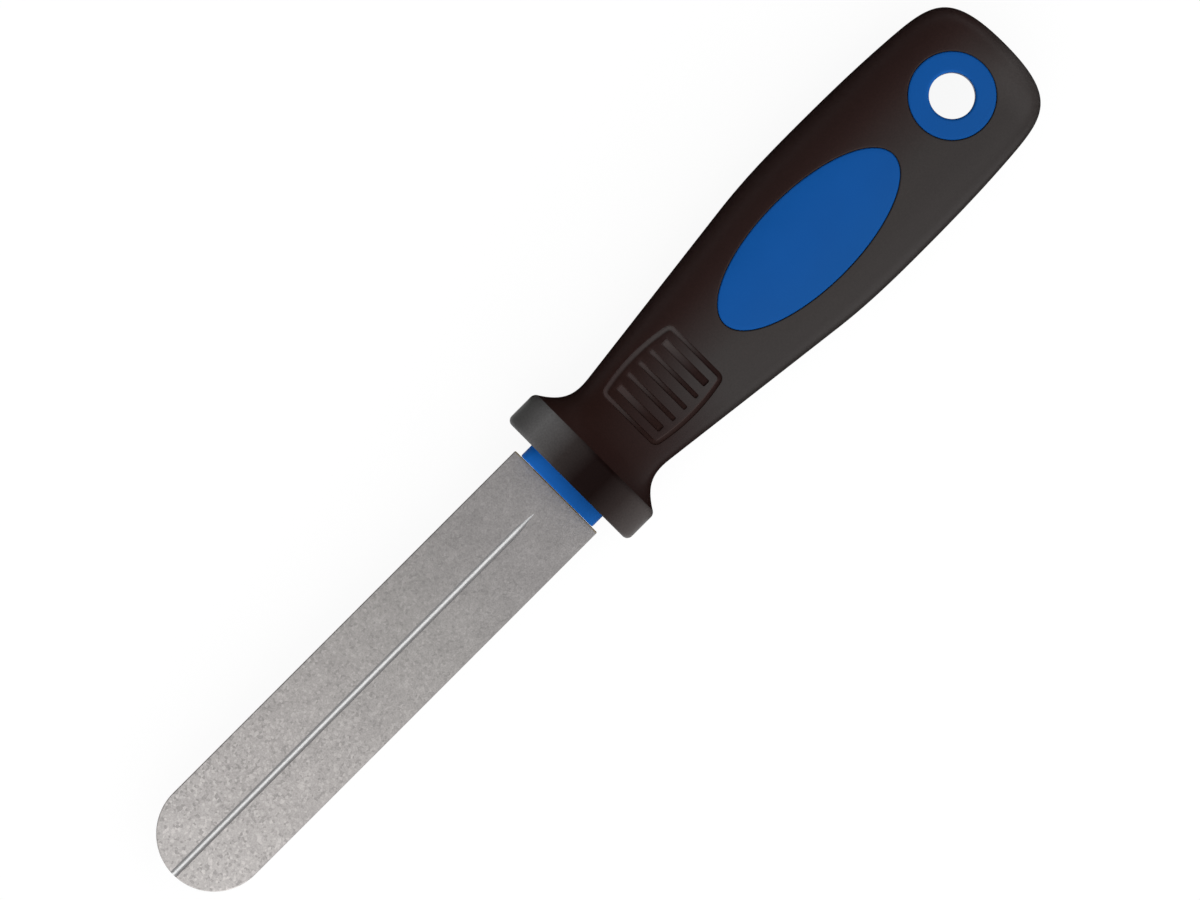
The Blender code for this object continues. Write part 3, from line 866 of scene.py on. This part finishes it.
def makePlatedGrit():
    # Diamond grit in electroplated nickel: warm grey, speckled, without a clear reflection
    f = gritFinish
    values = {"Metallic": f["metallic"], "Roughness": f["roughness"]}
    material, shader = newMaterial("electroplated_diamond_grit", values)
    links = material.node_tree.links
    place, x, y = placeInMm(material)
    end = bladeShape["shoulderX"]
    # Painted shade along the plate, darker towards the shoulder
    along = addNode(material, "MapRange", {1: tipX, 2: end}, {0: x})
    tone = addNode(material, "ValToRGB", {"stops": f["plate"]}, {0: along})

    # Single crystals stand out light or dark, most of all near the tip
    cells = addNode(
        material, "TexVoronoi", {"Scale": 1 / f["dotSize"], "Randomness": 1.0},
        {"Vector": place}, output="Color",
    )
    cells = addNode(material, "SeparateColor", {}, {0: cells})
    dots = addNode(material, "ValToRGB", {"stops": f["dotStops"]}, {0: cells})
    dots = addNode(material, "Math", {"operation": "SUBTRACT", 1: f["dotMiddle"]}, {0: dots})
    contrast = addNode(material, "MapRange", {3: f["dotContrast"][0], 4: f["dotContrast"][1]}, {0: along})
    dots = addNode(material, "Math", {"operation": "MULTIPLY"}, {0: dots, 1: contrast})
    grain = addNode(material, "TexNoise", {"Scale": 1 / f["grainSize"], "Detail": 1.5}, {"Vector": place})
    patch = addNode(material, "TexNoise", {"Scale": 1 / f["patchSize"], "Detail": 3.0}, {"Vector": place})
    spread = f["grainContrast"]
    shade = addNode(material, "MapRange", fromNoise(1 - spread, 1 + spread), {0: grain})
    spread = f["patchContrast"]
    cloud = addNode(material, "MapRange", fromNoise(1 - spread, 1 + spread), {0: patch})
    side = plateWidth / 2
    # Painted light towards -y and painted shade towards +y
    low, high = f["sides"]
    lean = addNode(material, "MapRange", {1: -side, 2: side, 3: low, 4: high}, {0: y})
    cloud = addNode(material, "Math", {"operation": "MULTIPLY"}, {0: cloud, 1: lean})
    shade = addNode(material, "Math", {"operation": "MULTIPLY_ADD"}, {0: shade, 1: cloud, 2: dots})
    tone = addNode(material, "VectorMath", {"operation": "SCALE"}, {0: tone, "Scale": shade})

    # Darker along the long edges, and tan at the shoulder
    across = addNode(material, "Math", {"operation": "ABSOLUTE"}, {0: y})
    atEdge = addNode(
        material, "MapRange", {1: side - f["edgeWidth"], 2: side, 4: f["edgeStrength"]}, {0: across},
    )
    tone = addNode(
        material, "Mix", {"data_type": "RGBA", 7: colour(f["edge"])}, {0: atEdge, 6: tone}, output=2,
    )
    start, full = f["shoulderLineReach"]
    atShoulder = addNode(material, "MapRange", {1: end - start, 2: end - full}, {0: x})
    tone = addNode(
        material, "Mix", {"data_type": "RGBA", 7: colour(f["shoulderLine"])},
        {0: atShoulder, 6: tone}, output=2,
    )
    bump = addNode(material, "Bump", {"Strength": f["bump"], "Distance": grainHeight}, {"Height": grain})
    links.new(tone, shader.inputs["Base Color"])
    links.new(bump, shader.inputs["Normal"])
    return material


steelFinish = {
    # From the groove's edge at -y over its bottom to the other edge: a painted highlight along the
    # bottom, and painted shade up the sides, deeper on the +y side
    "groove": (
        (0.0, "#9b9999"), (0.2, "#a7a5a5"), (0.42, "#d0d0d0"), (0.53, "#dcddde"), (0.61, "#d4d4d4"),
        (0.79, "#7a7979"), (1.0, "#787777"),
    ),
    "endGain": 0.72,                 # where the groove climbs out, its tone and painted highlight are darker
    "scratchSize": (3.0, 0.05),      # along and across the groove, as a fine wheel leaves them
    "metallic": 0.2,                 # kept low, as its reflection is painted in the tone; its scratches scatter what clean steel would mirror
    "roughness": (0.35, 0.5),
}


def makeGroundSteel():
    # Bare steel, ground after plating: a painted highlight along the bottom, and painted shade up the
    # sides
    f = steelFinish
    material, shader = newMaterial("ground_bare_steel", {"Metallic": f["metallic"]})
    links = material.node_tree.links
    place, x, y = placeInMm(material)
    half = bladeShape["grooveWidth"] / 2
    # Painted highlight and shade across the groove
    side = addNode(material, "MapRange", {1: -half, 2: half}, {0: y})
    tone = addNode(material, "ValToRGB", {"stops": f["groove"]}, {0: side})
    end = bladeShape["shoulderX"] - bladeShape["grooveRearLand"]
    climb = end - bladeShape["grooveRunOut"]
    gain = addNode(
        material, "MapRange", {1: climb, 2: (climb + end) / 2, 3: 1.0, 4: f["endGain"]}, {0: x},
    )
    tone = addNode(material, "VectorMath", {"operation": "SCALE"}, {0: tone, "Scale": gain})
    long, wide = f["scratchSize"]
    stretch = (1 / long, 1 / wide, 1 / wide)
    stretched = addNode(material, "VectorMath", {"operation": "MULTIPLY", 1: stretch}, {0: place})
    scratches = addNode(material, "TexNoise", {"Scale": 1.0, "Detail": 2.0}, {"Vector": stretched})
    roughness = addNode(material, "MapRange", fromNoise(*f["roughness"]), {0: scratches})
    links.new(tone, shader.inputs["Base Color"])
    links.new(roughness, shader.inputs["Roughness"])
    return material


blueFinish = {
    # Across the handle, deepest on the side that is lit most
    "tones": ((0.0, "#083f79"), (0.5, "#0b4687"), (1.0, "#114f96")),
    "across": (-9.0, 9.0),           # y of the first tone and of the last
    "collarGain": 1.4,               # evens out the shade that the guard throws on the collar
    "collarFade": (0.0, 0.5),        # x from which the gain goes, and where it has gone
    "cloudSize": 9.0,                # faint clouds from the flow of the melt
    "cloudContrast": 0.02,
    "grainSize": 0.3,                # spark-eroded grain of the mould, drawn coarser than it is
    "roughness": (0.4, 0.48),
    "gloss": 0.04,                   # specular level, far under the usual 0.5: it shows no shine
    "bump": 0.06,
}


def makeBluePlastic():
    # Polypropylene from a finely eroded mould: even strong blue with a soft, weak shine
    f = blueFinish
    values = {"Specular IOR Level": f["gloss"]}
    material, shader = newMaterial("moulded_blue_polypropylene", values)
    links = material.node_tree.links
    place, x, y = placeInMm(material)
    low, high = f["across"]
    across = addNode(material, "MapRange", {1: low, 2: high}, {0: y})
    tone = addNode(material, "ValToRGB", {"stops": f["tones"]}, {0: across})
    cloud = addNode(material, "TexNoise", {"Scale": 1 / f["cloudSize"], "Detail": 2.0}, {"Vector": place})
    grain = addNode(material, "TexNoise", {"Scale": 1 / f["grainSize"], "Detail": 1.0}, {"Vector": place})
    spread = f["cloudContrast"]
    shade = addNode(material, "MapRange", fromNoise(1 - spread, 1 + spread), {0: cloud})
    low, high = f["collarFade"]
    gain = addNode(material, "MapRange", {1: low, 2: high, 3: f["collarGain"], 4: 1.0}, {0: x})
    shade = addNode(material, "Math", {"operation": "MULTIPLY"}, {0: shade, 1: gain})
    tone = addNode(material, "VectorMath", {"operation": "SCALE"}, {0: tone, "Scale": shade})
    roughness = addNode(material, "MapRange", fromNoise(*f["roughness"]), {0: cloud})
    bump = addNode(material, "Bump", {"Strength": f["bump"], "Distance": grainHeight}, {"Height": grain})
    links.new(tone, shader.inputs["Base Color"])
    links.new(roughness, shader.inputs["Roughness"])
    links.new(bump, shader.inputs["Normal"])
    return material


rubberFinish = {
    # Along the handle from the guard's front to the butt, on the +y side and on the lit side: on the lit
    # side painted shade at the neck and painted light towards the butt
    "along": (
        (0.0, "#2b1a17"), (0.12, "#271815"), (0.28, "#281a18"), (0.92, "#281a18"), (1.0, "#2b1d1b"),
    ),
    "alongLit": (
        (0.0, "#1f110f"), (0.1, "#1b0f0d"), (0.17, "#1c1211"), (0.28, "#221e1d"), (0.92, "#221e1d"),
        (0.96, "#2b2726"), (1.0, "#373332"),
    ),
    "litAcross": (8.0, -3.5),        # y past which the +y side's tones hold, and the lit side's
    "palerAt": -4.0,                 # y of the palest line of a band of painted light along the handle
    "paler": 1.2,
    "palerReach": 6.5,
    "shineFrom": (11.0, 36.0),       # the neck is duller than the body
    "neckShine": 0.2,
    # Along the guard from its -y end to the other: painted highlights near both ends, and painted shade
    # in the middle
    "guard": (
        (0.0, "#403c3b"), (0.19, "#241e1d"), (0.34, "#0f0605"), (0.47, "#130a09"), (0.625, "#2d2827"),
        (0.84, "#5c5b5b"), (1.0, "#3c3b3a"),
    ),
    "grainSize": 0.35,               # mould grain, drawn coarser than it is
    "grainContrast": 0.1,
    "roughness": 0.4,
    "guardRoughness": 0.35,
    "gloss": 0.13,                   # specular level, under the usual 0.5 as soft rubber is
    "guardGloss": 0.02,
    "bump": 0.12,
    "dishCentre": 0.8,               # y of the deepest place of the thumb pad's floors
    "dish": 0.072,                   # how fast they curve up towards their ends
    "dishPaler": 2.15,               # how much paler their +y ends are, painted light
}


def makeBlackRubber(name, dished=False, paintedHighlights=False):
    # Thermoplastic rubber from a matt mould: brown-black, softly shining, with painted highlights on the
    # guard and painted light and shade along the handle
    f = rubberFinish
    material, shader = newMaterial(name, {
        "Roughness": f["guardRoughness" if paintedHighlights else "roughness"],
        "Specular IOR Level": f["guardGloss" if paintedHighlights else "gloss"],
    })
    links = material.node_tree.links
    place, x, y = placeInMm(material)
    if paintedHighlights:
        # Painted highlights near both ends of the guard, and painted shade in its middle
        end = handleShape["guardWidth"] / 2
        share = addNode(material, "MapRange", {1: -end, 2: end}, {0: y})
        tone = addNode(material, "ValToRGB", {"stops": f["guard"]}, {0: share})
    else:
        # Painted shade at the neck and, on the lit side, painted light towards the butt; the +y side and
        # the lit side are shaded and lit copies
        share = addNode(material, "MapRange", {1: 0.0, 2: handleLength}, {0: x})
        dim = addNode(material, "ValToRGB", {"stops": f["along"]}, {0: share})
        lit = addNode(material, "ValToRGB", {"stops": f["alongLit"]}, {0: share})
        # On the thumb pad's floors the two tones swap sides, as painted light and shade the other way
        # round
        start, full = f["litAcross"][::-1] if dished else f["litAcross"]
        side = addNode(material, "MapRange", {1: start, 2: full}, {0: y})
        tone = addNode(material, "Mix", {"data_type": "RGBA"}, {0: side, 6: dim, 7: lit}, output=2)
    if not paintedHighlights and not dished:
        # A band of painted light along the handle's lit side
        away = addNode(material, "Math", {"operation": "SUBTRACT", 1: f["palerAt"]}, {0: y})
        away = addNode(material, "Math", {"operation": "ABSOLUTE"}, {0: away})
        gain = addNode(
            material, "MapRange",
            {"interpolation_type": "SMOOTHSTEP", 1: 0.0, 2: f["palerReach"], 3: f["paler"], 4: 1.0},
            {0: away},
        )
        tone = addNode(material, "VectorMath", {"operation": "SCALE"}, {0: tone, "Scale": gain})
        start, full = f["shineFrom"]
        shine = addNode(
            material, "MapRange",
            {"interpolation_type": "SMOOTHSTEP", 1: start, 2: full, 3: f["neckShine"]},
            {0: x},
        )
        links.new(shine, shader.inputs["Specular Tint"])
    grain = addNode(material, "TexNoise", {"Scale": 1 / f["grainSize"], "Detail": 2.0}, {"Vector": place})
    spread = f["grainContrast"]
    shade = addNode(material, "MapRange", fromNoise(1 - spread, 1 + spread), {0: grain})
    if dished:
        # Painted light at the +y ends of the thumb pad's floors
        middle, end = f["dishCentre"], gripDetail["padWidth"] / 2
        paler = addNode(
            material, "MapRange",
            {"interpolation_type": "SMOOTHSTEP", 1: middle, 2: end, 3: 1.0, 4: f["dishPaler"]},
            {0: y},
        )
        shade = addNode(material, "Math", {"operation": "MULTIPLY"}, {0: shade, 1: paler})
    tone = addNode(material, "VectorMath", {"operation": "SCALE"}, {0: tone, "Scale": shade})
    normal = addNode(
        material, "Bump", {"Strength": f["bump"], "Distance": grainHeight}, {"Height": grain},
    )
    if dished:
        # Floors of the thumb pad are dished, so they shade the other way round than the grip
        out = addNode(material, "Math", {"operation": "SUBTRACT", 1: f["dishCentre"]}, {0: y})
        square = addNode(material, "Math", {"operation": "MULTIPLY"}, {0: out, 1: out})
        normal = addNode(
            material, "Bump", {"Distance": f["dish"] * mm}, {"Height": square, "Normal": normal},
        )
    links.new(tone, shader.inputs["Base Color"])
    links.new(normal, shader.inputs["Normal"])
    return material


platedGrit = makePlatedGrit()
groundSteel = makeGroundSteel()
bluePlastic = makeBluePlastic()
blackRubber = makeBlackRubber("moulded_black_rubber")
guardHighlightRubber = makeBlackRubber("black_rubber_painted_highlights", paintedHighlights=True)
dishedRubber = makeBlackRubber("dished_black_rubber", dished=True)
print("materials made")

blade = buildBlade()
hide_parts("file_blade")
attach(blade, "root")

core = buildCore()
core.data.materials.append(bluePlastic)
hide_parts("handle_core")
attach(core, "root")

grip = buildGrip()
for material in (blackRubber, guardHighlightRubber, dishedRubber):
    grip.data.materials.append(material)
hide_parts("soft_grip")
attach(grip, "root")
print("pieces made")


# Floor, light and camera

studio = {
    "floorColour": "#f4f4f4",
    "floorRoughness": 0.9,
    "floorSize": 60.0,
    "floorZ": -0.0002,               # just under the handle, so that the two never share a plane
    "shadowKept": 0.08,              # how much of the shadow on the floor shows
    # Light tent: how bright the -Y side is, fading over the top to the dim +Y side, and dimmed
    # again towards +X, behind the handle
    "brightSide": 2.12,
    "dimSide": 0.05,
    "fadeAcross": (-0.2, 0.65),
    "fadeAlong": (0.6, 0.85),
    "dimBehind": 0.2,
    "whiteBelow": 0.02,              # past the floor's edge and just over it the world is white
    # Black cards on the floor, seen in reflections alone: low and high x, low and high y, in metres
    "cards": {
        "card_behind_back": (0.0, 0.16, 0.012, 0.25),
        "card_behind_butt": (0.112, 0.35, -0.25, 0.012),
        "card_in_front": (0.0, 0.112, -0.032, -0.012),
    },
    "cardColour": "#050505",
    "cardHeight": 0.0001,
    "lens": 1200.0,                  # so long that the picture has no perspective
    "sensor": 36.0,
    "clip": (0.1, 50.0),
    "frameWidth": 0.225,             # what the picture's width takes in at the handle's middle
    "aim": (0.00267, -0.000285),
    "cameraTurn": -45.0,
}


def makeFloor():
    bpy.ops.mesh.primitive_plane_add(size=studio["floorSize"], location=(0, 0, studio["floorZ"]))
    floor = bpy.context.object
    floor.name = "studio_floor"
    values = {"Base Color": colour(studio["floorColour"]), "Roughness": studio["floorRoughness"]}
    material, shader = newMaterial("pale_floor", values)
    floor.data.materials.append(material)
    # The camera and reflections see the floor as white, and other light as the pale paint it is
    links = material.node_tree.links
    rays = addNode(material, "LightPath", {}).node.outputs
    seen = rays["Is Camera Ray"]
    for kind in ("Is Glossy Ray", "Is Transmission Ray"):
        seen = addNode(material, "Math", {"operation": "MAXIMUM"}, {0: seen, 1: rays[kind]})
    share = addNode(material, "Math", {"operation": "MULTIPLY", 1: 1 - studio["shadowKept"]}, {0: seen})
    white = addNode(material, "Emission", {"Strength": 1.0})
    mixed = addNode(material, "MixShader", {}, {0: share, 1: shader.outputs[0], 2: white})
    links.new(mixed, material.node_tree.nodes["Material Output"].inputs["Surface"])


def makeWorld():
    s = studio
    world = bpy.data.worlds.new("light_tent")
    bpy.context.scene.world = world
    world.use_nodes = True
    way = addNode(world, "TexCoord", {}, output="Generated")
    way = addNode(world, "SeparateXYZ", {}, {0: way}).node.outputs
    start, end = s["fadeAcross"]
    across = addNode(
        world, "MapRange", {1: start, 2: end, 3: s["brightSide"], 4: s["dimSide"]}, {0: way["Y"]},
    )
    start, end = s["fadeAlong"]
    behind = addNode(
        world, "MapRange",
        {"interpolation_type": "SMOOTHSTEP", 1: start, 2: end, 3: 1.0, 4: s["dimBehind"]},
        {0: way["X"]},
    )
    light = addNode(world, "Math", {"operation": "MULTIPLY"}, {0: across, 1: behind})
    level = addNode(world, "Math", {"operation": "LESS_THAN", 1: s["whiteBelow"]}, {0: way["Z"]})
    light = addNode(world, "Math", {"operation": "MAXIMUM"}, {0: light, 1: level})
    background = world.node_tree.nodes["Background"]
    background.inputs["Color"].default_value = (1, 1, 1, 1)
    world.node_tree.links.new(light, background.inputs["Strength"])


def makeCard(name, edges):
    lowX, highX, lowY, highY = edges
    centre = ((lowX + highX) / 2, (lowY + highY) / 2, studio["cardHeight"])
    bpy.ops.mesh.primitive_plane_add(size=1.0, location=centre)
    card = bpy.context.object
    card.name = name
    card.scale = (highX - lowX, highY - lowY, 1.0)
    values = {"Base Color": colour(studio["cardColour"]), "Roughness": 1.0, "Specular IOR Level": 0.0}
    card.data.materials.append(newMaterial(name, values)[0])
    card.visible_camera = card.visible_diffuse = card.visible_shadow = False


def makeCamera():
    s = studio
    camera = bpy.data.cameras.new("camera")
    camera.lens, camera.sensor_width = s["lens"], s["sensor"]
    camera.clip_start, camera.clip_end = s["clip"]
    holder = bpy.data.objects.new("camera", camera)
    bpy.context.scene.collection.objects.link(holder)
    holder.location = (*s["aim"], middleZ + s["frameWidth"] * s["lens"] / s["sensor"])
    holder.rotation_euler = (0, 0, math.radians(s["cameraTurn"]))
    bpy.context.scene.camera = holder


makeFloor()
makeWorld()
for name, edges in studio["cards"].items():
    makeCard(name, edges)
makeCamera()
bpy.context.scene.view_settings.view_transform = "Standard"
print("studio made")
